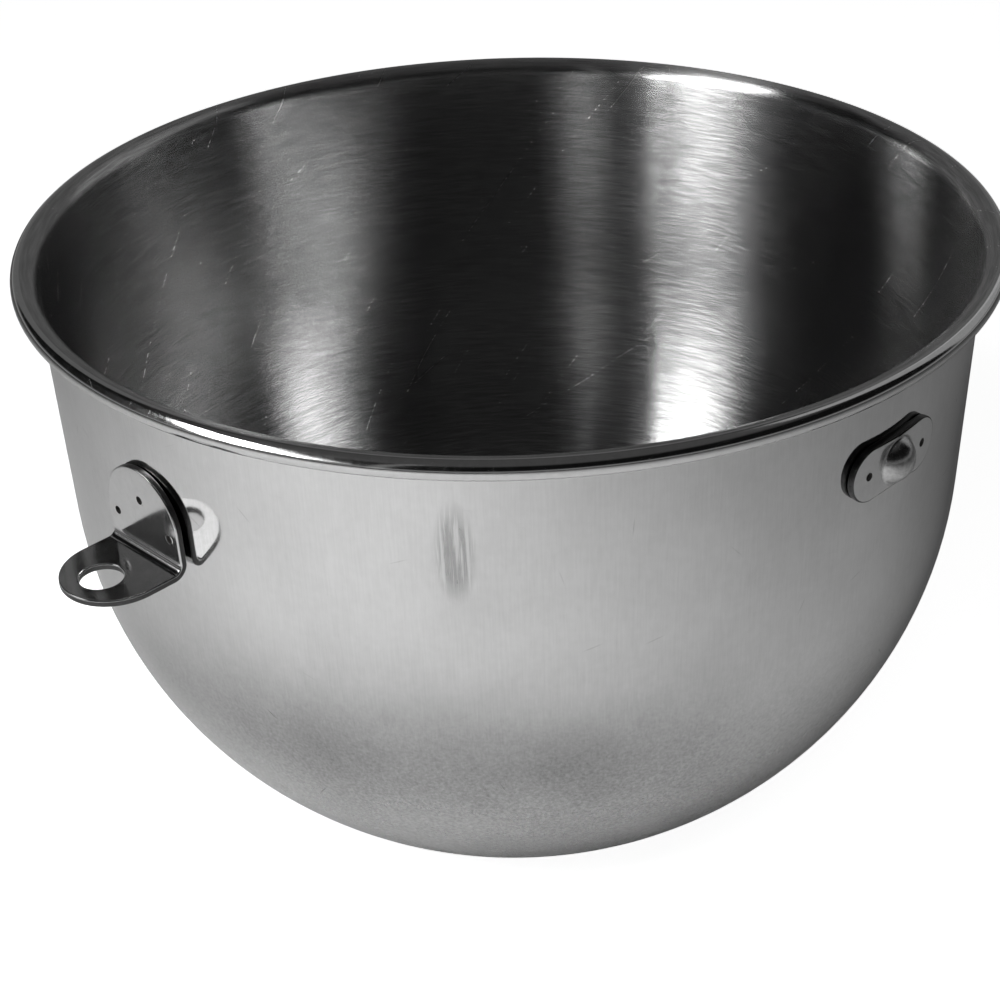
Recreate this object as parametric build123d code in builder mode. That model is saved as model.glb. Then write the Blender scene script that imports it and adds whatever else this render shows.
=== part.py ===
from build123d import *

import os
from math import acos, cos, degrees, radians, sin, tan

# Mixing bowl of a bowl-lift stand mixer: a deep-drawn steel shell with a rolled rim,
# two folded ears that hang it on the lift arms' pins, and a catch plate at the rear.
# Millimetres. The origin is the centre of the standing face, +Z is up, +Y is the rear.

# Drawn shell, outside sizes
rim_diameter = 235.0
bowl_height = 153.0
shell_sheet = 0.8
wall_draft = 1.3
knuckle_radius = 105.5
heel_radius = 48.0
base_diameter = 75.0

# Rolled rim: the wall flares over a crest and curls under, hollow inside
flare_radius = 3.5
roll_diameter = 4.7
roll_turn = 255.0

# Carrying ears, one strip of plate folded to a wall flange and a level lug
ear_width = 24.0
ear_sheet = 1.6
ear_drop = 41.3
ear_upright = 21.0
ear_lug = 20.7
ear_bend_radius = 1.2
ear_hole_diameter = 9.6
ear_hole_out = 12.3
ear_weld_top = 13.3
ear_weld_low = 7.2
ear_weld_side = 9.0

# Catch plate, an oblong pressing with a hollow dome for the spring catch
catch_length = 29.5
catch_width = 13.0
catch_sheet = 1.6
catch_drop = 24.0
catch_weld_side = 9.6
dome_diameter = 10.6
dome_height = 3.5
dome_foot_radius = 0.8

# Spot welds: a dimple on the face of a plate and a pip on its back that meets the wall
weld_diameter = 2.2
weld_depth = 0.5
weld_gap = 0.05
plate_standoff = 0.2

# Broken edges of the punched plates
edge_radius = 0.3

draft = radians(wall_draft)
half_sheet = shell_sheet / 2

# The section of the shell is drawn along the middle of its sheet
roll_radius = roll_diameter / 2 - half_sheet
crest_radius = rim_diameter / 2 - half_sheet - roll_radius
wall_top_radius = crest_radius - flare_radius * cos(draft)
wall_top_height = bowl_height - half_sheet - flare_radius * (1 - sin(draft))
base_radius = base_diameter / 2

# The knuckle arc is tangent to the drafted wall and to the heel arc, which sets where they meet
arc_difference = knuckle_radius - heel_radius
knuckle_inset = (knuckle_radius - half_sheet) / cos(draft) + base_radius
knuckle_inset += (wall_top_height - heel_radius) * tan(draft) - wall_top_radius
heel_angle = draft + acos(knuckle_inset * cos(draft) / arc_difference)


def wall_radius(height):
    """Outside radius of the drafted wall at a height."""
    middle = wall_top_radius - (wall_top_height - height) * tan(draft)
    return middle + half_sheet / cos(draft)


def cut_to_wall(low, high):
    """Trim the part being built back to the outside of the wall, with the weld's gap."""
    with BuildSketch(Plane.XZ) as inside:
        with BuildLine():
            Polyline(
                (0, low),
                (wall_radius(low) + weld_gap, low),
                (wall_radius(high) + weld_gap, high),
                (0, high),
                close=True,
            )
        make_face()
    revolve(inside.sketch, axis=Axis.Z, mode=Mode.SUBTRACT)


def spot_welds(face_plane, points, sheet):
    """Sink a dimple in a plate's face at each point, with a pip behind it that reaches the wall."""
    ball_radius = (weld_diameter**2 / 4 + weld_depth**2) / (2 * weld_depth)
    pip_reach = plate_standoff + max(x**2 for x, y in points) / wall_radius(face_plane.origin.Z)
    with Locations(face_plane.offset(-sheet)):
        with Locations(*points):
            Cylinder(weld_diameter / 2, pip_reach, align=(Align.CENTER, Align.CENTER, Align.MAX))
    with Locations(face_plane.offset(ball_radius - weld_depth)):
        with Locations(*points):
            Sphere(ball_radius, mode=Mode.SUBTRACT)


# Shell: one sheet from the centre of the base to the curled edge of the rim
with BuildPart() as bowl_shell:
    with BuildSketch(Plane.XZ):
        with BuildLine():
            base = Line((0, half_sheet), (base_radius, half_sheet))
            heel = JernArc(base @ 1, base % 1, heel_radius - half_sheet, 90 - degrees(heel_angle))
            knuckle_turn = degrees(heel_angle) - wall_draft
            knuckle = JernArc(heel @ 1, heel % 1, knuckle_radius - half_sheet, knuckle_turn)
            wall = Line(knuckle @ 1, (wall_top_radius, wall_top_height))
            flare = JernArc(wall @ 1, wall % 1, flare_radius, wall_draft - 90)
            JernArc(flare @ 1, flare % 1, roll_radius, -roll_turn)
        trace(line_width=shell_sheet)
    revolve(axis=Axis.Z)
bowl_shell.part.label = "bowl_shell"

# Right ear: the fold lies where the flange's face meets the top of the lug
lug_top = bowl_height - ear_drop
fold_radius = wall_radius(lug_top) + (plate_standoff + ear_sheet) / cos(draft)
flange_plane = Plane(origin=(fold_radius, 0, lug_top), x_dir=(0, 1, 0), z_dir=(cos(draft), 0, -sin(draft)))
lug_plane = Plane.XY.offset(lug_top)
ear_reach = ear_upright + ear_lug
ear_welds = [(0, ear_weld_top), (-ear_weld_side, ear_weld_low), (ear_weld_side, ear_weld_low)]
with BuildPart() as right_ear:
    with BuildSketch(Plane.XZ):
        with BuildLine():
            half_plate = ear_sheet / 2
            middle_radius = fold_radius - half_plate / cos(draft) - half_plate * tan(draft)
            middle_height = lug_top - half_plate
            flange_top = ear_upright + half_plate
            FilletPolyline(
                (middle_radius + flange_top * sin(draft), middle_height + flange_top * cos(draft)),
                (middle_radius, middle_height),
                (fold_radius + ear_lug, middle_height),
                radius=ear_bend_radius + half_plate,
            )
        trace(line_width=ear_sheet)
    extrude(amount=ear_width / 2, both=True)
    with BuildSketch(flange_plane):
        with Locations((0, ear_upright - ear_width / 2)):
            Circle(ear_width / 2)
            Rectangle(ear_width, ear_reach, align=(Align.CENTER, Align.MAX))
    extrude(amount=ear_reach, both=True, mode=Mode.INTERSECT)
    with BuildSketch(lug_plane):
        with Locations((fold_radius + ear_lug - ear_width / 2, 0)):
            Circle(ear_width / 2)
            Rectangle(ear_reach, ear_width, align=(Align.MAX, Align.CENTER))
    extrude(amount=ear_reach, both=True, mode=Mode.INTERSECT)
    outline = right_ear.edges()
    for straight_across in (Axis.Y, Axis.Z, Axis(flange_plane.origin, flange_plane.z_dir)):
        outline = outline.filter_by(straight_across, reverse=True)
    fillet(outline, edge_radius)
    with Locations((fold_radius + ear_hole_out, 0, lug_top)):
        Hole(ear_hole_diameter / 2)
    spot_welds(flange_plane, ear_welds, ear_sheet)
    cut_to_wall(lug_top - ear_reach, lug_top + ear_upright)
right_ear.part.label = "right_ear"

# Left ear, the same pressing on the other side
with BuildPart() as left_ear:
    mirror(right_ear.part, about=Plane.YZ)
left_ear.part.label = "left_ear"

# Catch plate: the dome is a cap of a ball, pressed out of the plate and open at its back
catch_height = bowl_height - catch_drop
catch_face = wall_radius(catch_height) + (plate_standoff + catch_sheet) / cos(draft)
catch_plane = Plane(origin=(0, catch_face, catch_height), x_dir=(-1, 0, 0), z_dir=(0, cos(draft), -sin(draft)))
dome_ball = (dome_diameter**2 / 4 + dome_height**2) / (2 * dome_height)
with BuildPart() as catch_plate:
    with BuildSketch(catch_plane):
        SlotOverall(catch_length, catch_width)
    extrude(amount=-catch_sheet)
    fillet(catch_plate.faces().sort_by(Axis.Y)[-1].edges(), edge_radius)
    with Locations(catch_plane.offset(dome_height - dome_ball)):
        Sphere(dome_ball)
    split(bisect_by=catch_plane.offset(-catch_sheet), keep=Keep.TOP)
    fillet(catch_plate.edges().filter_by(GeomType.CIRCLE).filter_by(lambda e: e.is_closed), dome_foot_radius)
    with Locations(catch_plane.offset(dome_height - dome_ball)):
        Sphere(dome_ball - catch_sheet, mode=Mode.SUBTRACT)
    spot_welds(catch_plane, [(-catch_weld_side, 0), (catch_weld_side, 0)], catch_sheet)
    cut_to_wall(catch_height - catch_width, catch_height + catch_width)
catch_plate.part.label = "catch_plate"

os.makedirs("parts", exist_ok=True)
for piece in (bowl_shell, right_ear, left_ear, catch_plate):
    export_step(piece.part, f"parts/{piece.part.label}.step")
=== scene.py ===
"""Steel mixing bowl of a bowl-lift stand mixer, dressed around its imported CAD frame.

The drawn shell is modelled again as a finely spun sheet, so that its polish shows no facets.
The two ears and the rear catch plate are pressed again with rounded edges and dark weld pits.
"""
import logging
from dataclasses import dataclass, field
from enum import Enum, IntEnum
from math import acos, asin, atan2, cos, pi, radians, sin, tan
from typing import Any, Callable

import bmesh
import bpy
from bmesh.types import BMEdge, BMesh, BMFace, BMLayerItem
from bpy.types import Collection, Material, Node, NodeSocket, NodeTree, Object
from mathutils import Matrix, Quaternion, Vector


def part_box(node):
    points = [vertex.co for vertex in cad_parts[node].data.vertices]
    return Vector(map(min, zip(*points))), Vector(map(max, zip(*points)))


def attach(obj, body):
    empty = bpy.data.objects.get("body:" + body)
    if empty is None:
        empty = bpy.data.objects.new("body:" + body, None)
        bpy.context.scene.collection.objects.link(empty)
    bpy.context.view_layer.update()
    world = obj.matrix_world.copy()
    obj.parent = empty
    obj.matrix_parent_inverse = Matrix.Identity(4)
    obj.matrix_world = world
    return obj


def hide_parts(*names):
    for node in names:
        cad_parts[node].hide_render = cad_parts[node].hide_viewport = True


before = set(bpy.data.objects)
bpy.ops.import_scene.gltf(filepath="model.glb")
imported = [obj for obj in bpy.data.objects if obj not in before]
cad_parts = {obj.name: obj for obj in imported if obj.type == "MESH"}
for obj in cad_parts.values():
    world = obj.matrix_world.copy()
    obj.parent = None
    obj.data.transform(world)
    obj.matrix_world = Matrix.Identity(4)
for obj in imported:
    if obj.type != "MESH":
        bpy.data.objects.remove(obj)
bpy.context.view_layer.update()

LOG = logging.getLogger("bowl")
MM = 0.001
WALL_DRAFT = radians(1.3)

Feed = Node | NodeSocket
Edges = list[BMEdge]


def linear(hex_colour: str) -> tuple[float, float, float, float]:
    """Turn an sRGB hex colour into linear values.

    Args:
        hex_colour: Six hex digits after a hash sign.

    Returns:
        Red, green, blue and an alpha of 1.
    """
    channels = [int(hex_colour[i : i + 2], 16) / 255 for i in (1, 3, 5)]
    red, green, blue = [c / 12.92 if c <= 0.04045 else ((c + 0.055) / 1.055) ** 2.4 for c in channels]
    return red, green, blue, 1.0


def add_node(tree: NodeTree, kind: str, inputs: dict | None = None, **settings: Any) -> Node:
    """Add a node with its settings, values and links.

    Args:
        tree: Node tree that gets the node.
        kind: Blender's name for the node type, less the ShaderNode at its start.
        inputs: Socket name or number to a value, or to the output socket or the node that feeds it. A node
            feeds by its first output.
        settings: Attributes of the node itself.

    Returns:
        The new node.
    """
    node = tree.nodes.new(f"ShaderNode{kind}")
    for name, value in settings.items():
        setattr(node, name, value)
    for socket, value in (inputs or {}).items():
        if isinstance(value, Node):
            value = value.outputs[0]
        if isinstance(value, NodeSocket):
            tree.links.new(value, node.inputs[socket])
        else:
            node.inputs[socket].default_value = value
    return node


def new_material(name: str) -> tuple[Material, NodeTree]:
    """Start a material with an empty tree.

    Args:
        name: Name of the finish.

    Returns:
        The material and its tree.
    """
    material = bpy.data.materials.new(name)
    material.use_nodes = True
    material.node_tree.nodes.clear()
    return material, material.node_tree


def make_object(name: str, bm: BMesh) -> Object:
    """Turn a finished mesh into an object of the scene.

    Args:
        name: Name of the object and of its mesh.
        bm: The mesh, which is used up.

    Returns:
        The object, at the origin.
    """
    mesh = bpy.data.meshes.new(name)
    bm.to_mesh(mesh)
    bm.free()
    made = bpy.data.objects.new(name, mesh)
    bpy.context.scene.collection.objects.link(made)
    return made


class Side(IntEnum):
    """Material slots of the shell."""

    OUTSIDE = 0
    RIM = 1
    INSIDE = 2


class Reach(Enum):
    """What a lamp is for: all the steel, the shell alone, the plates alone or the paper."""

    STEEL = "steel"
    SHELL = "shell"
    PLATES = "plates"
    TABLE = "table"


@dataclass(frozen=True)
class Scratches:
    """Thin scratches that run side by side in one direction and come and go.

    Lengths are in millimetres: the distance between neighbours, how long one runs and its width. The angle
    is in degrees, and cover is the share of each line that shows.
    """

    spacing: float
    run: float
    width: float
    angle: float = 0.0
    cover: float = 0.2

    def draw(self, tree: NodeTree, place: Feed) -> Feed:
        """Draw the lines.

        Args:
            tree: Node tree of the material.
            place: Coordinates in metres, whose first axis the lines follow when the angle is zero.

        Returns:
            A mask that is 1 on a line and 0 away from it.
        """
        turned = add_node(tree, "Mapping", {"Vector": place, "Rotation": (0, 0, radians(self.angle))})
        # A wave texture repeats every tenth of pi at a scale of 1
        waves = add_node(
            tree,
            "TexWave",
            {
                "Vector": turned,
                "Scale": pi / (10 * self.spacing * MM),
                "Distortion": 5.0,
                "Detail": 1.0,
                "Detail Scale": 10 * self.spacing / (pi * self.run),
            },
            bands_direction="Y",
        )
        edge = (pi * self.width / self.spacing) ** 2 / 4
        line = add_node(
            tree,
            "MapRange",
            {"Value": waves.outputs["Fac"], "From Min": 1 - edge, "From Max": 1 - 0.4 * edge},
        )
        stretch = (1 / (self.run * MM), 0.7 / (self.spacing * MM), 1 / (self.run * MM))
        parts = add_node(tree, "Mapping", {"Vector": turned, "Scale": stretch})
        patches = add_node(tree, "TexNoise", {"Vector": parts, "Scale": 1.0, "Detail": 1.0})
        shown = add_node(
            tree,
            "MapRange",
            {
                "Value": patches,
                "From Min": 0.72 - 0.44 * self.cover,
                "From Max": 0.84 - 0.44 * self.cover,
            },
        )
        return add_node(tree, "Math", {0: line, 1: shown}, operation="MULTIPLY")


def weigh(tree: NodeTree, base: float, parts: list[tuple[Feed, float]]) -> Feed:
    """Add weighted patterns to a base value.

    Args:
        tree: Node tree of the material.
        base: Value where every pattern is zero.
        parts: Each pattern with its weight.

    Returns:
        The sum, held between 0 and 1.
    """
    total: float | Node = base
    for pattern, weight in parts:
        total = add_node(tree, "Math", {0: pattern, 1: weight, 2: total}, operation="MULTIPLY_ADD")
    total.use_clamp = True
    return total


def lay_flat(tree: NodeTree, radius: float) -> Feed:
    """Lay the shell's sheet out flat.

    Args:
        tree: Node tree of the material.
        radius: Radius at which a step round the bowl keeps its true length, in metres.

    Returns:
        Metres round the bowl, then metres of sheet from the centre of the base.
    """
    sheet = add_node(tree, "UVMap", uv_map="sheet")
    laid = add_node(tree, "SeparateXYZ", {0: sheet})
    swapped = {"X": laid.outputs["Y"], "Y": laid.outputs["X"], "Z": 0.0}
    turned = add_node(tree, "CombineXYZ", swapped)
    scale = (2 * pi * radius, 1.0, 1.0)
    return add_node(tree, "Mapping", {"Vector": turned, "Scale": scale})


@dataclass(frozen=True)
class Finish:
    """A finish of stainless steel, whose tone runs from a dark grey to a light one.

    The roughness is that of the bare polish, before the patterns add to it.
    """

    name: str
    dark: str
    light: str
    roughness: float
    metallic: float = 1.0

    def draw(self, tree: NodeTree, place: Feed) -> tuple[Feed, dict[str, Any]]:
        """Draw the patterns of the finish.

        Args:
            tree: Node tree of the material.
            place: Object coordinates.

        Returns:
            The shade from dark to light, and the other inputs of the steel.
        """
        raise NotImplementedError

    def build(self) -> Material:
        """Build the finish on its patterns.

        Returns:
            The material.
        """
        material, tree = new_material(self.name)
        place = add_node(tree, "TexCoord").outputs["Object"]
        shade, inputs = self.draw(tree, place)
        tone = add_node(
            tree,
            "Mix",
            {"Factor": shade, "A": linear(self.dark), "B": linear(self.light)},
            data_type="RGBA",
        )
        inputs |= {"Base Color": tone.outputs["Result"], "Metallic": self.metallic}
        steel = add_node(tree, "BsdfPrincipled", inputs)
        add_node(tree, "OutputMaterial", {"Surface": steel})
        return material


@dataclass(frozen=True)
class BrushedInside(Finish):
    """Stainless steel, brushed round and round inside the bowl.

    The grooves spread each light into an upright streak, and years of whisks leave arcs across them.
    """

    name: str = "stainless_steel_brushed_round"
    dark: str = "#7a7a7a"
    light: str = "#d6d6d6"
    roughness: float = 0.18
    anisotropy: float = 1.0
    # Drawn a little wider than real brushing, so that a groove shows at this distance
    groove_mm: float = 0.5
    groove_run_mm: float = 9.0
    groove_depth_mm: float = 0.004
    groove_contrast: tuple[float, float] = (0.34, 0.66)
    fine_groove_mm: float = 0.28
    fine_groove_run_mm: float = 5.0
    wear_mm: float = 14.0
    # The tone darkens down the lower wall, from the first height to the second
    darkening_top: float = 0.085
    darkening_full: float = 0.04
    middle_radius: float = 0.1
    whisk_marks: tuple[tuple[Scratches, float], ...] = (
        (Scratches(spacing=2.8, run=70, width=0.14, angle=57, cover=0.45), 0.35),
        (Scratches(spacing=5.1, run=60, width=0.14, angle=36, cover=0.35), 0.35),
        (Scratches(spacing=6.4, run=55, width=0.1, angle=-48, cover=0.25), 0.3),
        (Scratches(spacing=2.3, run=90, width=0.1, angle=3, cover=0.4), 0.2),
    )

    def draw(self, tree: NodeTree, place: Feed) -> tuple[Feed, dict[str, Any]]:
        """Draw the grooves, the worn clouds, the whisk marks and the darker lower wall.

        Args:
            tree: Node tree of the material.
            place: Object coordinates.

        Returns:
            The shade from dark to light, and the other inputs of the steel.
        """
        flat = lay_flat(tree, self.middle_radius)
        grooves = self._grooves(tree, place, flat, self.groove_mm, self.groove_run_mm)
        fine = self._grooves(tree, place, flat, self.fine_groove_mm, self.fine_groove_run_mm)
        wear = add_node(
            tree,
            "TexNoise",
            {"Vector": place, "Scale": 1 / (self.wear_mm * MM), "Detail": 4.0, "Roughness": 0.6},
        )
        scratched = weigh(tree, 0.0, [(line.draw(tree, flat), weight) for line, weight in self.whisk_marks])
        gloss = weigh(tree, self.roughness, [(grooves, 0.04), (fine, 0.04), (wear, 0.04), (scratched, 0.08)])
        low, high = self.groove_contrast
        bright = add_node(tree, "MapRange", {"Value": grooves, "From Min": low, "From Max": high})
        height = add_node(tree, "SeparateXYZ", {0: place}).outputs["Z"]
        darker_low = add_node(
            tree,
            "MapRange",
            {"Value": height, "From Min": self.darkening_top, "From Max": self.darkening_full},
            interpolation_type="SMOOTHSTEP",
        )
        polish = [(bright, 0.24), (fine, 0.22), (wear, 0.15)]
        shade = weigh(tree, 0.19, [*polish, (darker_low, -0.22)])
        depth = self.groove_depth_mm * MM
        bump = add_node(tree, "Bump", {"Height": grooves, "Strength": 1.0, "Distance": depth})
        groove_way = add_node(tree, "Tangent", direction_type="UV_MAP", uv_map="sheet")
        brushing = {"Anisotropic": self.anisotropy, "Tangent": groove_way}
        return shade, {"Roughness": gloss, "Normal": bump, **brushing}

    def _grooves(self, tree: NodeTree, place: Feed, flat: Feed, width_mm: float, run_mm: float) -> Feed:
        """Draw grooves round the bowl.

        Args:
            tree: Node tree of the material.
            place: Object coordinates.
            flat: The sheet laid out flat, in metres.
            width_mm: Width of a groove.
            run_mm: Length of a groove.

        Returns:
            The grooves' height, from 0 to 1.
        """
        spot = add_node(tree, "SeparateXYZ", {0: place})
        along = add_node(tree, "SeparateXYZ", {0: flat})
        ways = {"X": spot.outputs["X"], "Y": spot.outputs["Y"], "Z": along.outputs["Y"]}
        vector = add_node(tree, "CombineXYZ", ways)
        stretch = (1 / (run_mm * MM), 1 / (run_mm * MM), 1 / (width_mm * MM))
        lines = add_node(tree, "Mapping", {"Vector": vector, "Scale": stretch})
        return add_node(tree, "TexNoise", {"Vector": lines, "Scale": 1.0, "Detail": 1.0, "Roughness": 0.5})


@dataclass(frozen=True)
class SatinOutside(Finish):
    """Stainless steel, drawn and polished to a satin outside.

    It mirrors what is close and softens what is far, with upright hairlines from the polishing belt. Towards
    the base the polish fades into the dull, pebbled skin that deep drawing leaves, and its tone grows darker.
    """

    name: str = "stainless_steel_satin_polish"
    dark: str = "#6e6e6e"
    light: str = "#d2d2d2"
    roughness: float = 0.03
    middle_radius: float = 0.112
    hairline_mm: float = 0.4
    hairline_run_mm: float = 10.0
    cloud_mm: float = 24.0
    mottle_mm: float = 2.2
    # Drawn about twice as coarse as the real skin, so that it shows
    pebble_mm: float = 0.8
    relief_mm: float = 0.1
    skin_top: float = 0.1
    skin_full: float = 0.05
    scuff_angle: float = radians(38.4)
    scuff_height: float = 0.129
    scuff_size: tuple[float, float] = (0.0042, 0.0118)
    stroke_mm: float = 0.8
    stroke_run_mm: float = 24.0
    # Painted reflected shadow: a darker band round the knuckle between these heights, kept off the -X side
    reflected_shadow_heights: tuple[float, float, float] = (0.048, 0.076, 0.112)
    reflected_shadow_sides: tuple[float, float] = (0.01, 0.07)
    knock_cell_mm: float = 26.0
    knock_mm: tuple[float, float] = (2.6, 0.16)
    pit_cell_mm: float = 14.0
    pit_edges: tuple[float, float] = (0.045, 0.02)
    pits_left_out: float = 0.55

    def draw(self, tree: NodeTree, place: Feed) -> tuple[Feed, dict[str, Any]]:
        """Draw the hairlines, the clouds, the pebbled skin, the marks of use and a painted reflected shadow.

        Args:
            tree: Node tree of the material.
            place: Object coordinates.

        Returns:
            The shade from dark to light, and the other inputs of the steel.
        """
        hairlines = self._stretched(tree, place, self.hairline_mm, self.hairline_run_mm)
        clouds, mottle, pebbles = [
            add_node(tree, "TexNoise", {"Vector": place, "Scale": 1 / (size * MM), "Detail": detail})
            for size, detail in ((self.cloud_mm, 3.0), (self.mottle_mm, 2.0), (self.pebble_mm, 2.0))
        ]
        height = add_node(tree, "SeparateXYZ", {0: place}).outputs["Z"]
        skin = add_node(
            tree,
            "MapRange",
            {"Value": height, "From Min": self.skin_top, "From Max": self.skin_full},
            interpolation_type="SMOOTHSTEP",
        )
        raised = add_node(tree, "Math", {0: pebbles, 1: 0.5}, operation="SUBTRACT")
        pebbled = add_node(tree, "Math", {0: raised, 1: skin}, operation="MULTIPLY")
        knocked = self._knocks(tree, lay_flat(tree, self.middle_radius))
        scuff = self._scuff(tree, place)
        rubs = [(skin, 0.2), (scuff, 0.2), (knocked, 0.2)]
        gloss = weigh(tree, self.roughness, [(hairlines, 0.04), (clouds, 0.05), *rubs])
        # Painted reflected shadow on the knuckle; the scuff, nicks and pits listed after it are real wear
        ring = self._painted_reflected_shadow(tree, place)
        wear = [(ring, -0.35), (scuff, -0.42), (knocked, -0.3), (self._pits(tree, place), -0.6)]
        polish = [(hairlines, 0.22), (clouds, 0.3), (mottle, 0.14)]
        # The tone grows darker towards the base, over the skin
        shade = weigh(tree, 0.6, [*polish, (skin, -0.5), (pebbled, 0.7), *wear])
        relief = weigh(tree, 0.3, [(hairlines, 0.05), (pebbled, 0.75)])
        depth = self.relief_mm * MM
        bump = add_node(tree, "Bump", {"Height": relief, "Strength": 0.6, "Distance": depth})
        return shade, {"Roughness": gloss, "Normal": bump}

    def _stretched(self, tree: NodeTree, place: Feed, width_mm: float, run_mm: float) -> Feed:
        """Draw upright hairlines.

        Args:
            tree: Node tree of the material.
            place: Object coordinates.
            width_mm: Width of a line.
            run_mm: Length of a line.

        Returns:
            The lines' height, from 0 to 1.
        """
        fine, run = 1 / (width_mm * MM), 1 / (run_mm * MM)
        lines = add_node(tree, "Mapping", {"Vector": place, "Scale": (fine, fine, run)})
        return add_node(tree, "TexNoise", {"Vector": lines, "Scale": 1.0, "Detail": 3.0, "Roughness": 0.6})

    def _painted_reflected_shadow(self, tree: NodeTree, place: Feed) -> Feed:
        """Draw a painted reflected shadow: a darker band round the knuckle that fades out towards the -X
        side.

        Args:
            tree: Node tree of the material.
            place: Object coordinates.

        Returns:
            A mask that is 1 in the middle of the ring.
        """
        spot = add_node(tree, "SeparateXYZ", {0: place})
        low, middle, high = self.reflected_shadow_heights
        mask = 1.0
        for way, start, full in (("Z", high, middle), ("Z", low, middle), ("X", *self.reflected_shadow_sides)):
            fade = add_node(
                tree,
                "MapRange",
                {"Value": spot.outputs[way], "From Min": start, "From Max": full},
                interpolation_type="SMOOTHSTEP",
            )
            mask = add_node(tree, "Math", {0: mask, 1: fade}, operation="MULTIPLY")
        return mask

    def _scuff(self, tree: NodeTree, place: Feed) -> Feed:
        """Draw the dull upright rub under the rim.

        Args:
            tree: Node tree of the material.
            place: Object coordinates.

        Returns:
            A mask that is 1 in the rub.
        """
        turned = add_node(
            tree, "VectorRotate", {"Vector": place, "Angle": -self.scuff_angle}, rotation_type="Z_AXIS"
        )
        width, length = self.scuff_size
        spot = add_node(
            tree,
            "Mapping",
            {
                "Vector": turned,
                "Location": (0.0, 0.0, -self.scuff_height / length),
                "Scale": (0.0, 1 / width, 1 / length),
            },
        )
        reach = add_node(tree, "VectorMath", {0: spot}, operation="LENGTH")
        near = add_node(
            tree, "MapRange", {"Value": reach.outputs["Value"], "From Min": 1.1, "From Max": 0.6}
        )
        strokes = self._stretched(tree, place, self.stroke_mm, self.stroke_run_mm)
        rubbed = add_node(tree, "MapRange", {"Value": strokes, "From Min": 0.4, "From Max": 0.5})
        # The same place on the far side of the bowl stays clean
        front = add_node(tree, "SeparateXYZ", {0: turned})
        facing = add_node(tree, "Math", {0: front.outputs["X"], 1: 0.05}, operation="GREATER_THAN")
        mask = near
        for part in (rubbed, facing):
            mask = add_node(tree, "Math", {0: mask, 1: part}, operation="MULTIPLY")
        return mask

    def _knocks(self, tree: NodeTree, flat: Feed) -> Feed:
        """Draw a few short nicks, each in its own direction.

        Args:
            tree: Node tree of the material.
            flat: The sheet laid out flat, in metres.

        Returns:
            A mask that is 1 in a nick.
        """
        cell = 1 / (self.knock_cell_mm * MM)
        grid = add_node(tree, "Mapping", {"Vector": flat, "Scale": (cell, cell, cell)})
        cells = add_node(tree, "TexVoronoi", {"Vector": grid, "Scale": 1.0}, voronoi_dimensions="2D")
        middle = cells.outputs["Position"]
        local = add_node(tree, "VectorMath", {0: grid, 1: middle}, operation="SUBTRACT")
        chance = add_node(tree, "SeparateColor", {0: cells.outputs["Color"]})
        angle = add_node(tree, "Math", {0: chance.outputs["Red"], 1: 2 * pi}, operation="MULTIPLY")
        turned = add_node(tree, "VectorRotate", {"Vector": local, "Angle": angle}, rotation_type="Z_AXIS")
        length, width = (size / self.knock_cell_mm for size in self.knock_mm)
        shrunk = add_node(tree, "Mapping", {"Vector": turned, "Scale": (1 / length, 1 / width, 0.0)})
        away = add_node(tree, "VectorMath", {0: shrunk}, operation="LENGTH")
        nick = add_node(
            tree, "MapRange", {"Value": away.outputs["Value"], "From Min": 1.0, "From Max": 0.4}
        )
        deep = {0: nick, 1: chance.outputs["Green"]}
        return add_node(tree, "Math", deep, operation="MULTIPLY")

    def _pits(self, tree: NodeTree, place: Feed) -> Feed:
        """Draw the few dark pin pricks in the sheet.

        Args:
            tree: Node tree of the material.
            place: Object coordinates.

        Returns:
            A mask that is 1 in a pit.
        """
        scale = 1 / (self.pit_cell_mm * MM)
        cells = add_node(tree, "TexVoronoi", {"Vector": place, "Scale": scale})
        rim, floor = self.pit_edges
        dot = add_node(
            tree, "MapRange", {"Value": cells.outputs["Distance"], "From Min": rim, "From Max": floor}
        )
        chance = {0: cells.outputs["Color"], 1: self.pits_left_out}
        kept = add_node(tree, "Math", chance, operation="GREATER_THAN")
        return add_node(tree, "Math", {0: dot, 1: kept}, operation="MULTIPLY")


@dataclass(frozen=True)
class BrightSteel(Finish):
    """Stainless steel, buffed bright on the rolled rim and on the welded plates.

    It mirrors sharply, clouded by fine handling scratches.
    """

    dark: str = "#a8a8a8"
    light: str = "#d0d0d0"
    roughness: float = 0.06
    cloud_mm: float = 1.5
    relief_mm: float = 0.05
    handling: tuple[tuple[Scratches, float], ...] = (
        (Scratches(spacing=1.7, run=7, width=0.12, angle=20, cover=0.35), 0.8),
        (Scratches(spacing=2.3, run=9, width=0.12, angle=-50, cover=0.3), 0.8),
    )

    def draw(self, tree: NodeTree, place: Feed) -> tuple[Feed, dict[str, Any]]:
        """Draw the clouds of the buffing and the scratches of handling.

        Args:
            tree: Node tree of the material.
            place: Object coordinates.

        Returns:
            The shade from dark to light, and the other inputs of the steel.
        """
        clouds = add_node(
            tree, "TexNoise", {"Vector": place, "Scale": 1 / (self.cloud_mm * MM), "Detail": 3.0}
        )
        scratched = weigh(tree, 0.0, [(line.draw(tree, place), weight) for line, weight in self.handling])
        gloss = weigh(tree, self.roughness, [(clouds, 0.12), (scratched, 0.16)])
        shade = weigh(tree, 0.55, [(clouds, 0.5), (scratched, -0.2)])
        relief = weigh(tree, 0.0, [(clouds, 0.3)])
        depth = self.relief_mm * MM
        bump = add_node(tree, "Bump", {"Height": relief, "Strength": 0.15, "Distance": depth})
        return shade, {"Roughness": gloss, "Normal": bump}


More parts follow.
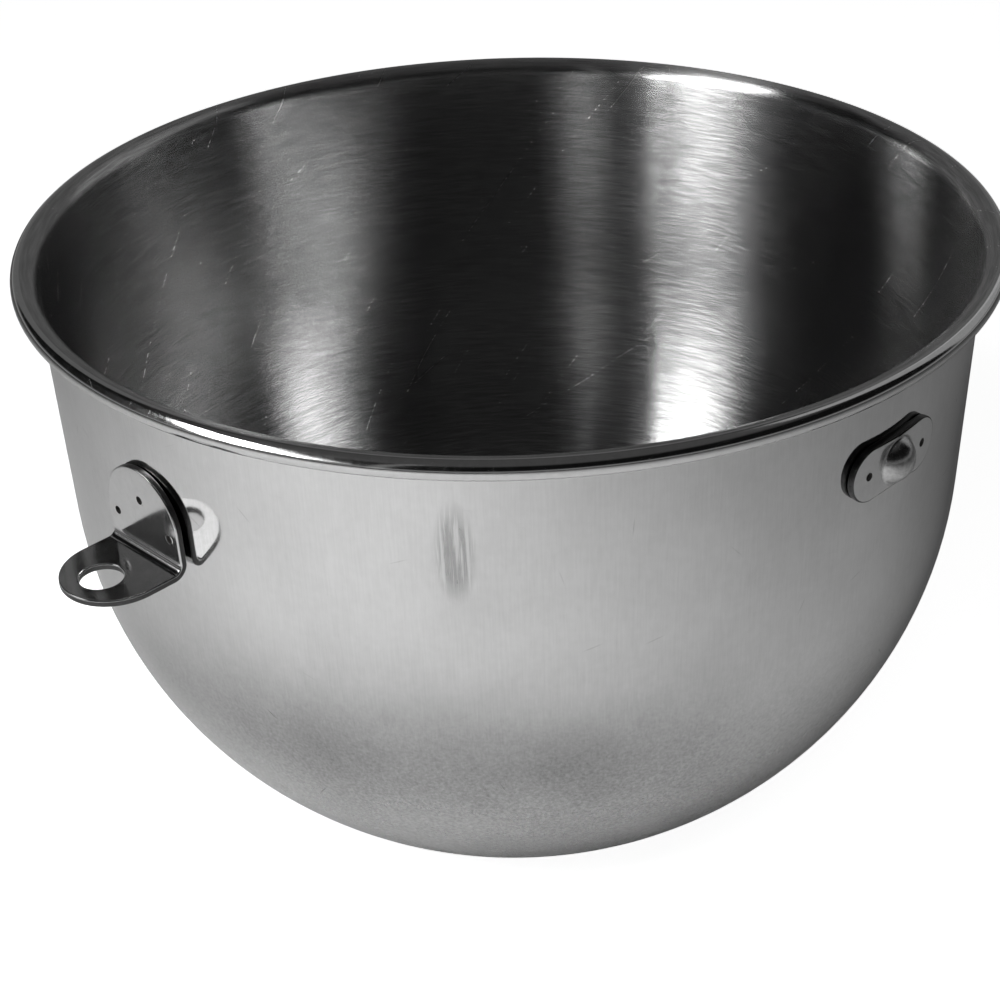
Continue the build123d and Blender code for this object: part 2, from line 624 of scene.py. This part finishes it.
@dataclass(frozen=True)
class GrainySteel(Finish):
    """A finish with one grain, which sets its tone, its gloss and its relief."""

    grain_mm: float = 0.5
    grain_detail: float = 3.0
    grain_gloss: float = 0.0
    relief: float = 0.0
    relief_mm: float = 0.05

    def draw(self, tree: NodeTree, place: Feed) -> tuple[Feed, dict[str, Any]]:
        """Draw the grain.

        Args:
            tree: Node tree of the material.
            place: Object coordinates.

        Returns:
            The shade from dark to light, and the other inputs of the steel.
        """
        size = {"Scale": 1 / (self.grain_mm * MM), "Detail": self.grain_detail}
        grain = add_node(tree, "TexNoise", {"Vector": place, **size})
        gloss = weigh(tree, self.roughness, [(grain, self.grain_gloss)])
        raised = {"Height": grain, "Strength": self.relief, "Distance": self.relief_mm * MM}
        return grain, {"Roughness": gloss, "Normal": add_node(tree, "Bump", raised)}


@dataclass(frozen=True)
class WeldScale(GrainySteel):
    """Stainless steel burnt by a spot weld: black oxide in the bottom of the pit, dull and rough."""

    name: str = "stainless_steel_weld_scale"
    dark: str = "#141414"
    light: str = "#3a3836"
    roughness: float = 0.55
    metallic: float = 0.6
    grain_mm: float = 0.4
    grain_detail: float = 2.0


@dataclass(frozen=True)
class ShearedEdgeWithPaintedShade(GrainySteel):
    """Stainless steel as the punch leaves it: a dull edge with a fine, uneven grain, its dark tone a painted
    shade along the plate's edge and its seam with the wall.
    """

    name: str = "stainless_steel_sheared_edge_painted_shade"
    dark: str = "#2e2e2e"
    light: str = "#5e5e5e"
    roughness: float = 0.2
    grain_mm: float = 0.3
    grain_gloss: float = 0.25


@dataclass(frozen=True)
class WornDome(GrainySteel):
    """Stainless steel, rubbed by the spring catch: a bright dome with a frosted grain."""

    name: str = "stainless_steel_worn_by_catch"
    dark: str = "#8a8a8a"
    light: str = "#d8d8d8"
    roughness: float = 0.14
    grain_mm: float = 0.7
    grain_gloss: float = 0.2
    relief: float = 0.3


@dataclass
class SheetPath:
    """The middle line of a bent sheet in the half plane of radius and height, walked like a bending plan.

    Each stop is a radius, a height, a heading in radians and the length of sheet walked so far.
    """

    radius: float
    height: float
    heading: float = 0.0
    walked: float = 0.0
    stops: list[tuple[float, float, float, float]] = field(default_factory=list)

    def __post_init__(self) -> None:
        """Note the first stop."""
        self._note()

    def _note(self) -> None:
        """Note where the path stands."""
        self.stops.append((self.radius, self.height, self.heading, self.walked))

    def straight(self, length: float, steps: int) -> None:
        """Walk straight on.

        Args:
            length: Length of the flat or conical stretch.
            steps: Number of stops along it.
        """
        for _ in range(steps):
            self.radius += length / steps * cos(self.heading)
            self.height += length / steps * sin(self.heading)
            self.walked += length / steps
            self._note()

    def bend(self, bend_radius: float, turn: float, steps: int) -> None:
        """Walk round an arc.

        Args:
            bend_radius: Radius of the sheet's middle.
            turn: Angle of the arc, positive to the left.
            steps: Number of stops along it.
        """
        chord = 2 * bend_radius * sin(abs(turn) / steps / 2)
        for _ in range(steps):
            self.heading += turn / steps / 2
            self.radius += chord * cos(self.heading)
            self.height += chord * sin(self.heading)
            self.heading += turn / steps / 2
            self.walked += bend_radius * abs(turn) / steps
            self._note()


@dataclass
class BowlShell:
    """The drawn shell with its rolled rim, in millimetres as on the drawing."""

    rim_diameter: float
    height: float
    sheet: float = 0.8
    draft: float = WALL_DRAFT
    knuckle_radius: float = 105.5
    heel_radius: float = 48.0
    base_diameter: float = 75.0
    flare_radius: float = 3.5
    roll_diameter: float = 4.7
    roll_turn: float = radians(255)
    base_steps: int = 6
    heel_steps: int = 14
    knuckle_steps: int = 26
    wall_steps: int = 10
    flare_steps: int = 10
    roll_steps: int = 22
    turns: int = 288
    merge: float = 0.01
    sharp_angle: float = radians(50)

    def middle_line(self) -> tuple[SheetPath, float, float]:
        """Walk the sheet's middle from the centre of the base to the curled edge.

        Returns:
            The path, and the lengths of sheet at which the flare and the roll begin.
        """
        half = self.sheet / 2
        roll = self.roll_diameter / 2 - half
        wall_radius = self.rim_diameter / 2 - half - roll - self.flare_radius * cos(self.draft)
        wall_height = self.height - half - self.flare_radius * (1 - sin(self.draft))
        inset = (self.knuckle_radius - half) / cos(self.draft) + self.base_diameter / 2
        inset += (wall_height - self.heel_radius) * tan(self.draft) - wall_radius
        heel = self.draft + acos(inset * cos(self.draft) / (self.knuckle_radius - self.heel_radius))
        path = SheetPath(0.0, half)
        path.straight(self.base_diameter / 2, self.base_steps)
        path.bend(self.heel_radius - half, pi / 2 - heel, self.heel_steps)
        path.bend(self.knuckle_radius - half, heel - self.draft, self.knuckle_steps)
        path.straight((wall_height - path.height) / cos(self.draft), self.wall_steps)
        rim_start = path.walked
        path.bend(self.flare_radius, self.draft - pi / 2, self.flare_steps)
        crest = path.walked
        path.bend(roll, -self.roll_turn, self.roll_steps)
        return path, rim_start, crest

    def build(self) -> Object:
        """Spin the sheet's section into a closed shell.

        Returns:
            The shell's object, with its sheet laid out in a UV map.
        """
        path, rim_start, crest = self.middle_line()
        bm = bmesh.new()
        along = bm.verts.layers.float.new("along")
        inner = bm.verts.layers.float.new("inner")
        chain = []
        for side, stops in ((1, path.stops), (-1, path.stops[::-1])):
            for radius, height, heading, walked in stops:
                away = side * self.sheet / 2
                r = max(0.0, radius + away * sin(heading))
                vertex = bm.verts.new((r * MM, 0, (height - away * cos(heading)) * MM))
                vertex[along] = walked * MM
                vertex[inner] = (1 - side) / 2
                chain.append(vertex)
        edges = [bm.edges.new(pair) for pair in zip(chain, chain[1:])]
        bmesh.ops.spin(
            bm,
            geom=chain + edges,
            axis=(0, 0, 1),
            cent=(0, 0, 0),
            angle=2 * pi,
            steps=self.turns,
            use_merge=True,
        )
        bmesh.ops.remove_doubles(bm, verts=bm.verts, dist=self.merge * MM)
        bmesh.ops.recalc_face_normals(bm, faces=bm.faces)
        self._lay_uv(bm, along)
        for face in bm.faces:
            face.smooth = True
            place = sum(v[along] for v in face.verts) / len(face.verts)
            inside = sum(v[inner] for v in face.verts) / len(face.verts) > 0.5
            face.material_index = Side.INSIDE if inside else Side.OUTSIDE
            # The brushing inside runs on over the flare, the buffing outside starts below it
            if place > (crest if inside else rim_start) * MM:
                face.material_index = Side.RIM
        shell = make_object("bowl_shell_spun", bm)
        shell.data.set_sharp_from_angle(angle=self.sharp_angle)
        return shell

    def _lay_uv(self, bm: BMesh, along: BMLayerItem) -> None:
        """Lay the sheet out flat, with its length along U and its turn round the bowl along V.

        Args:
            bm: The spun shell.
            along: Layer with the length of sheet at each vertex.
        """
        layer = bm.loops.layers.uv.new("sheet")
        for face in bm.faces:
            centre = face.calc_center_median()
            middle = atan2(centre.y, centre.x)
            for loop in face.loops:
                place = loop.vert.co
                turn = atan2(place.y, place.x) if place.xy.length > 0 else middle
                turn += 2 * pi * round((middle - turn) / (2 * pi))
                loop[layer].uv = (loop.vert[along], turn / (2 * pi))

    def dress(self, shell: Object) -> None:
        """Give each side of the sheet its finish and seat the shell in the frame.

        Args:
            shell: The shell's object.
        """
        for finish in (SatinOutside(), BrightSteel("stainless_steel_buffed_rim"), BrushedInside()):
            shell.data.materials.append(finish.build())
        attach(shell, "root")
        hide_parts("bowl_shell")


class Skin(IntEnum):
    """Material slots of a welded plate."""

    FACE = 0
    WELD = 1
    WORN = 2
    # Sheared edge, darkened as painted shade along the plate's edge and its seam with the wall
    SHEARED = 3


@dataclass
class PressedPlate:
    """A punched oblong of plate, modelled flat, with U across it, V along it and W out of its face.

    Lengths are in millimetres. The oblong's two round ends have their centres at low and high on the V axis.
    """

    name: str
    low: float
    high: float
    end_radius: float
    sheet: float = 1.6
    edge_radius: float = 0.35
    edge_steps: int = 5
    # Strips of the edge kept bright; the rest gets the sheared edge's painted shade
    bright_stops: int = 6
    round_steps: int = 96
    weld_steps: int = 24
    lip_stops: int = 3
    merge: float = 0.001
    weld_profile: tuple[tuple[float, float], ...] = (
        (1.3, 0.0),
        (1.12, 0.06),
        (0.98, 0.04),
        (0.85, -0.12),
        (0.72, -0.7),
    )
    bm: BMesh = field(default_factory=bmesh.new)

    def ring(self, u: float, v: float, w: float, radius: float, steps: int) -> Edges:
        """Draw a circle in the plane of the plate.

        Args:
            u: Place of its centre across the plate.
            v: Place of its centre along the plate.
            w: Height over the face.
            radius: Radius.
            steps: Number of corners.

        Returns:
            Its edges.
        """
        made = bmesh.ops.create_circle(self.bm, segments=steps, radius=radius)["verts"]
        bmesh.ops.translate(self.bm, verts=made, vec=(u, v, w))
        return list({edge for vertex in made for edge in vertex.link_edges})

    def oblong(self, inset: float, w: float) -> Edges:
        """Draw the plate's outline.

        Args:
            inset: Distance inside the full outline.
            w: Height over the face.

        Returns:
            Its edges.
        """
        edges = self.ring(0, 0, w, self.end_radius - inset, self.round_steps)
        for vertex in {vertex for edge in edges for vertex in edge.verts}:
            vertex.co.y += self.high if vertex.co.y > 0 else self.low
        return edges

    def rounding(self, outwards: float) -> list[tuple[float, float]]:
        """Walk over the plate's edge, from the rim of its face to the rim of its back.

        Args:
            outwards: 1 for an outline, -1 for a hole, whose radius grows where the edge is broken.

        Returns:
            Inset and height of each stop.
        """
        stops = []
        for step in range(self.edge_steps + 1):
            turn = pi / 2 * step / self.edge_steps
            stops.append((outwards * self.edge_radius * (1 - sin(turn)), -self.edge_radius * (1 - cos(turn))))
        return stops + [(inset, -self.sheet - w) for inset, w in reversed(stops)]

    def join(self, loops: list[Edges], skin: Skin = Skin.FACE) -> None:
        """Skin a stack of outlines that have the same number of corners.

        Args:
            loops: Edges of each outline, in order.
            skin: Material of the new faces.
        """
        for one, other in zip(loops, loops[1:]):
            made = bmesh.ops.bridge_loops(self.bm, edges=one + other)
            for face in made["faces"]:
                face.smooth = True
                face.material_index = skin

    def rim(self, loops: list[Edges]) -> None:
        """Skin the plate's edge: bright where it is rounded over, sheared between, with a dark tone that
        paints shade along the edge and the seam.

        Args:
            loops: Edges of each outline, from the face to the back.
        """
        self.join(loops[: self.bright_stops])
        self.join(loops[self.bright_stops - 1 :], Skin.SHEARED)

    def cap(self, loops: list[Edges], skin: Skin = Skin.FACE) -> None:
        """Fill a flat face between an outline and the openings in it.

        Args:
            loops: Edges of the outline and of each opening.
            skin: Material of the new faces.
        """
        edges = [edge for loop in loops for edge in loop]
        made = bmesh.ops.triangle_fill(self.bm, use_beauty=True, use_dissolve=False, edges=edges)
        for face in made["geom"]:
            if isinstance(face, BMFace):
                face.material_index = skin

    def weld(self, u: float, v: float) -> Edges:
        """Sink the dark pit of a spot weld, with the lip that the electrode raises.

        Args:
            u: Place across the plate.
            v: Place along the plate.

        Returns:
            Edges of its mouth in the face.
        """
        loops = [self.ring(u, v, w, radius, self.weld_steps) for radius, w in self.weld_profile]
        self.join(loops[: self.lip_stops])
        self.join(loops[self.lip_stops - 1 :], Skin.WELD)
        self.cap(loops[-1:], Skin.WELD)
        return loops[0]

    def finish(self, spot: Callable[[Vector], Vector]) -> Object:
        """Set the plate in its place and hand over its object.

        Args:
            spot: Turns flat U, V, W into the frame's X, Y, Z, in millimetres.

        Returns:
            The plate's object.
        """
        for vertex in self.bm.verts:
            vertex.co = spot(vertex.co) * MM
        bmesh.ops.remove_doubles(self.bm, verts=self.bm.verts, dist=self.merge * MM)
        bmesh.ops.recalc_face_normals(self.bm, faces=self.bm.faces)
        return make_object(self.name, self.bm)

    def dress(self, plate: Object, node: str) -> Object:
        """Give the plate its finishes and seat it in the frame.

        Args:
            plate: The plate's object.
            node: CAD node that it stands for.

        Returns:
            The same object.
        """
        for finish in (BrightSteel("stainless_steel_buffed_plate"), WeldScale(), WornDome(), ShearedEdgeWithPaintedShade()):
            known = bpy.data.materials.get(finish.name)
            plate.data.materials.append(known or finish.build())
        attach(plate, "root")
        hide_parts(node)
        LOG.info("pressed %s with %d faces", plate.name, len(plate.data.polygons))
        return plate


@dataclass
class Ear:
    """A strip of plate folded to a flange on the wall and a level lug, on the +X side or its mirror."""

    side: int
    draft: float = WALL_DRAFT
    half_width: float = 12.0
    sheet: float = 1.6
    bend_radius: float = 1.9
    fold_radius: float = 113.0
    lug_top: float = 111.7
    upright: float = 21.0
    lug: float = 20.7
    hole_diameter: float = 9.6
    hole_out: float = 12.3
    welds: tuple[tuple[float, float], ...] = ((0.0, 13.3), (-9.0, 7.2), (9.0, 7.2))
    bend_cuts: int = 14
    hole_steps: int = 64

    def __post_init__(self) -> None:
        """Work out where the bend begins and ends on the flat strip."""
        self.turn = pi / 2 + self.draft
        self.bend_length = (self.bend_radius + self.sheet / 2) * self.turn
        self.setback = self.bend_radius * (1 + sin(self.draft)) / cos(self.draft)

    def spot(self, flat: Vector) -> Vector:
        """Fold a point of the flat strip up the wall.

        Args:
            flat: U, V and W on the strip, V from the end of the lug up to the top of the flange.

        Returns:
            X, Y and Z in millimetres.
        """
        turn = min(max(flat.y / self.bend_length, 0.0), 1.0) * self.turn
        reach = self.bend_radius - flat.z
        x = self.fold_radius + self.setback - reach * sin(turn) - min(flat.y, 0.0)
        z = self.lug_top + self.bend_radius - reach * cos(turn)
        up = max(flat.y - self.bend_length, 0.0)
        return Vector((self.side * (x + up * sin(self.draft)), flat.x, z + up * cos(self.draft)))

    def build(self) -> Object:
        """Punch, weld and fold the strip.

        Returns:
            The ear's object.
        """
        flange = self.bend_length - self.setback
        low = self.setback + self.half_width - self.lug
        high = flange + self.upright - self.half_width
        node = "right_ear" if self.side > 0 else "left_ear"
        plate = PressedPlate(f"{node}_folded", low, high, self.half_width, self.sheet)
        outline = [plate.oblong(inset, w) for inset, w in plate.rounding(1)]
        hole = [
            plate.ring(0, self.setback - self.hole_out, w, self.hole_diameter / 2 - inset, self.hole_steps)
            for inset, w in plate.rounding(-1)
        ]
        welds = [plate.weld(u, flange + v) for u, v in self.welds]
        plate.rim(outline)
        plate.rim(hole)
        plate.cap([outline[0], hole[0], *welds])
        plate.cap([outline[-1], hole[-1]])
        for cut in range(self.bend_cuts + 1):
            bmesh.ops.bisect_plane(
                plate.bm,
                geom=plate.bm.verts[:] + plate.bm.edges[:] + plate.bm.faces[:],
                plane_co=(0, self.bend_length * cut / self.bend_cuts, 0),
                plane_no=(0, 1, 0),
            )
        for face in plate.bm.faces:
            if 0 < face.calc_center_median().y < self.bend_length:
                face.smooth = True
        return plate.dress(plate.finish(self.spot), node)


@dataclass
class CatchPlate:
    """The oblong plate at the rear, with the dome that snaps into the mixer's spring catch."""

    draft: float = WALL_DRAFT
    length: float = 29.5
    width: float = 13.0
    face_radius: float = 113.39
    height: float = 129.0
    dome_diameter: float = 10.6
    dome_height: float = 3.5
    dome_foot: float = 0.8
    weld_side: float = 9.6
    dome_steps: int = 72
    foot_stops: int = 7
    cap_stops: int = 16

    def spot(self, flat: Vector) -> Vector:
        """Bend a point of the flat plate round the rear wall.

        Args:
            flat: U up the wall, V along the wall and W out of it.

        Returns:
            X, Y and Z in millimetres.
        """
        turn = flat.y / self.face_radius
        out = self.face_radius + flat.z * cos(self.draft) + flat.x * sin(self.draft)
        height = self.height + flat.x * cos(self.draft) - flat.z * sin(self.draft)
        return Vector((out * sin(turn), out * cos(turn), height))

    def dome(self) -> list[tuple[float, float]]:
        """Walk over the dome from the foot of its fillet to near its top.

        Returns:
            Radius and height of each stop.
        """
        ball = (self.dome_diameter**2 / 4 + self.dome_height**2) / (2 * self.dome_height)
        sunk = ball - self.dome_height
        lean = asin((self.dome_foot + sunk) / (ball + self.dome_foot))
        foot = (ball + self.dome_foot) * cos(lean)
        stops = []
        for step in range(self.foot_stops + 1):
            turn = (pi / 2 - lean) * step / self.foot_stops
            stops.append((foot - self.dome_foot * sin(turn), self.dome_foot * (1 - cos(turn))))
        for step in range(1, self.cap_stops):
            turn = lean + (pi / 2 - lean) * step / self.cap_stops
            stops.append((ball * cos(turn), ball * sin(turn) - sunk))
        return stops

    def build(self) -> Object:
        """Punch the plate, press its dome and weld it on.

        Returns:
            The plate's object.
        """
        half = (self.length - self.width) / 2
        # One bright strip only, so the rest of the edge paints a thin dark shadow line along the seam with
        # the wall
        plate = PressedPlate("catch_plate_pressed", -half, half, self.width / 2, bright_stops=1)
        outline = [plate.oblong(inset, w) for inset, w in plate.rounding(1)]
        dome = [plate.ring(0, 0, w, radius, self.dome_steps) for radius, w in self.dome()]
        welds = [plate.weld(0, side * self.weld_side) for side in (-1, 1)]
        plate.rim(outline)
        plate.join(dome, Skin.WORN)
        plate.cap(dome[-1:], Skin.WORN)
        plate.cap([outline[0], dome[0], *welds])
        plate.cap(outline[-1:])
        return plate.dress(plate.finish(self.spot), "catch_plate")


@dataclass(frozen=True)
class Softbox:
    """A flat lamp that faces the bowl's axis, as a window does, or leans over it.

    Its place is given in degrees round the axis, from +X towards +Y, and in metres away from the axis and
    above the table. Its glow is the brightness of its face, where 1 is white. The tilt is in degrees, with 0
    for an upright lamp and 90 for one that faces straight down, and the lean turns its top to one side.
    """

    name: str
    azimuth: float
    distance: float
    middle: float
    width: float
    height: float
    glow: float
    reach: Reach = Reach.STEEL
    lean: float = 0.0
    tilt: float = 0.0

    def build(self, lit: dict[Reach, Collection]) -> None:
        """Hang the lamp.

        Args:
            lit: Pieces that a lamp of that reach lights alone.
        """
        lamp = bpy.data.lights.new(self.name, "AREA")
        lamp.shape = "RECTANGLE"
        lamp.size = self.width
        lamp.size_y = self.height
        lamp.energy = pi * self.width * self.height * self.glow
        turn, lift = radians(self.azimuth), radians(self.tilt)
        way = Vector((cos(turn) * cos(lift), sin(turn) * cos(lift), sin(lift)))
        holder = bpy.data.objects.new(self.name, lamp)
        holder.location = (cos(turn) * self.distance, sin(turn) * self.distance, self.middle)
        upright = way.to_track_quat("Z", "Y")
        holder.rotation_euler = (upright @ Quaternion((0, 0, 1), radians(self.lean))).to_euler()
        holder.visible_camera = False
        # Only a table lamp lights the paper, and only the others show in the steel
        holder.visible_diffuse = self.reach is Reach.TABLE
        holder.visible_glossy = self.reach is not Reach.TABLE
        if self.reach in lit:
            holder.light_linking.receiver_collection = lit[self.reach]
        bpy.context.scene.collection.objects.link(holder)


@dataclass
class Studio:
    """Pale table, dim room, soft lamps and the camera."""

    floor_radius: float = 4.0
    floor_steps: int = 96
    camera_place: tuple[float, float, float] = (0.30072, 0.29867, 0.33404)
    camera_way: tuple[float, float, float] = (-0.598098, -0.605894, -0.524568)
    camera_roll: float = radians(-2.03)
    focal_pixels: float = 1900.0
    picture_pixels: float = 1000.0
    sensor_mm: float = 36.0
    paper_white: float = 0.93
    paper_in_steel: float = 0.02
    # The walls are pale below the first height over the horizon and dim above the second
    wall_glow: tuple[float, float] = (0.3, 0.006)
    wall_edge: tuple[float, float] = (radians(2), radians(10))
    ceiling_glow: float = 0.07
    ceiling_edge: tuple[float, float] = (0.7, 0.85)
    lamps: tuple[Softbox, ...] = (
        Softbox("window", -19.9, 0.9, 0.69, 0.17, 0.88, 22.0, Reach.SHELL, lean=30),
        Softbox("window_low_panes", -12.3, 0.92, 0.49, 0.17, 0.3, 5.5, Reach.SHELL, lean=30),
        Softbox("window_side_pane", -10.4, 0.9, 0.69, 0.06, 0.88, 24.0, Reach.SHELL, lean=30),
        Softbox("window_side_low", -1.2, 0.92, 0.49, 0.06, 0.3, 8.5, Reach.SHELL, lean=30),
        Softbox("window_curtain", -30, 0.9, 0.73, 0.12, 1.0, 10.0, Reach.SHELL, lean=30),
        Softbox("window_reveal", -4.5, 0.9, 0.73, 0.1, 1.0, 0.8, Reach.SHELL, lean=30),
        Softbox("window_on_plates", -28, 0.9, 0.67, 0.5, 0.5, 2.0, Reach.PLATES),
        Softbox("room_on_plates", -46, 0.9, 0.46, 0.25, 0.4, 0.18, Reach.PLATES),
        Softbox("doorway", 18, 1.2, 1.0, 0.07, 1.8, 0.26),
        Softbox("far_window", 168, 1.2, 1.25, 0.8, 1.9, 0.35),
        Softbox("back_wall", -135, 1.5, 1.2, 3.0, 1.6, 0.14),
        Softbox("table_lamp", 9, 0.367, 0.45, 0.3, 0.3, 8.6, Reach.TABLE, tilt=80),
        Softbox("table_side_lamp", 75, 0.17, 0.2, 0.08, 0.08, 3.5, Reach.TABLE, tilt=80),
    )

    def build(self, shell: Object, plates: list[Object]) -> None:
        """Lay the floor, light the room and place the camera.

        Args:
            shell: The bowl's shell.
            plates: The plates welded to it.
        """
        self._floor()
        self._room()
        lit = {reach: bpy.data.collections.new(reach.value) for reach in (Reach.SHELL, Reach.PLATES)}
        lit[Reach.SHELL].objects.link(shell)
        for plate in plates:
            lit[Reach.PLATES].objects.link(plate)
        for lamp in self.lamps:
            lamp.build(lit)
        self._camera()

    def _floor(self) -> None:
        """Lay a round sheet of paper that is white to the lens and softly lit in the steel."""
        bm = bmesh.new()
        bmesh.ops.create_circle(bm, cap_ends=True, segments=self.floor_steps, radius=self.floor_radius)
        floor = make_object("floor", bm)
        material, tree = new_material("white_paper")
        paper = add_node(
            tree,
            "BsdfPrincipled",
            {"Base Color": linear("#f0f0f0"), "Roughness": 0.9, "Specular IOR Level": 0.1},
        )
        # The lens sees the paper blown out to white, also through glass, and the steel as the lamps light it
        ray = add_node(tree, "LightPath")
        direct = add_node(
            tree,
            "Math",
            {0: ray.outputs["Is Camera Ray"], 1: ray.outputs["Is Transmission Ray"]},
            operation="MAXIMUM",
        )
        mirrored = add_node(
            tree, "Math", {0: ray.outputs["Is Glossy Ray"], 1: self.paper_in_steel}, operation="MULTIPLY"
        )
        lift = add_node(
            tree, "Math", {0: direct, 1: self.paper_white, 2: mirrored}, operation="MULTIPLY_ADD"
        )
        glow = add_node(tree, "Emission", {"Color": linear("#ffffff"), "Strength": lift})
        both = add_node(tree, "AddShader", {0: paper, 1: glow})
        add_node(tree, "OutputMaterial", {"Surface": both})
        floor.data.materials.append(material)

    def _room(self) -> None:
        """Light the room: pale walls to just above the table, dim ones over them and a grey ceiling."""
        world = bpy.data.worlds.new("room")
        bpy.context.scene.world = world
        world.use_nodes = True
        tree = world.node_tree
        tree.nodes.clear()
        way = add_node(tree, "TexCoord")
        parts = add_node(tree, "SeparateXYZ", {0: way.outputs["Generated"]})
        low, high = (sin(edge) for edge in self.wall_edge)
        below, above = self.wall_glow
        rise = parts.outputs["Z"]
        dim = add_node(
            tree,
            "MapRange",
            {"Value": rise, "From Min": low, "From Max": high, "To Min": below, "To Max": above},
        )
        start, full = self.ceiling_edge
        ceiling = add_node(
            tree,
            "MapRange",
            {"Value": rise, "From Min": start, "From Max": full, "To Max": self.ceiling_glow},
        )
        both = add_node(tree, "Math", {0: dim, 1: ceiling}, operation="ADD")
        # The lens sees a white backdrop, also through glass, and the steel mirrors the room
        ray = add_node(tree, "LightPath")
        direct = add_node(
            tree,
            "Math",
            {0: ray.outputs["Is Camera Ray"], 1: ray.outputs["Is Transmission Ray"]},
            operation="MAXIMUM",
        )
        shown = add_node(tree, "Math", {0: both, 1: direct}, operation="MAXIMUM")
        sky = add_node(tree, "Background", {"Color": linear("#ffffff"), "Strength": shown})
        add_node(tree, "OutputWorld", {"Surface": sky})

    def _camera(self) -> None:
        """Stand the camera where the photograph was taken."""
        lens = bpy.data.cameras.new("camera")
        lens.sensor_width = self.sensor_mm
        lens.lens = self.focal_pixels / self.picture_pixels * self.sensor_mm
        lens.clip_start = 0.01
        camera = bpy.data.objects.new("camera", lens)
        camera.location = self.camera_place
        level = Vector(self.camera_way).to_track_quat("-Z", "Y")
        camera.rotation_euler = (level @ Quaternion((0, 0, 1), self.camera_roll)).to_euler()
        bpy.context.scene.collection.objects.link(camera)
        bpy.context.scene.camera = camera


def main() -> None:
    """Build the bowl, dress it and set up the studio."""
    logging.basicConfig(level=logging.INFO)
    bpy.context.scene.view_settings.view_transform = "Standard"
    low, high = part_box("bowl_shell")
    shell = BowlShell(rim_diameter=(high.x - low.x) / MM, height=(high.z - low.z) / MM)
    piece = shell.build()
    shell.dress(piece)
    LOG.info("spun %s with %d faces", piece.name, len(piece.data.polygons))
    plates = [Ear(1).build(), Ear(-1).build(), CatchPlate().build()]
    Studio().build(piece, plates)
    bpy.context.view_layer.update()


if __name__ == "__main__":
    main()
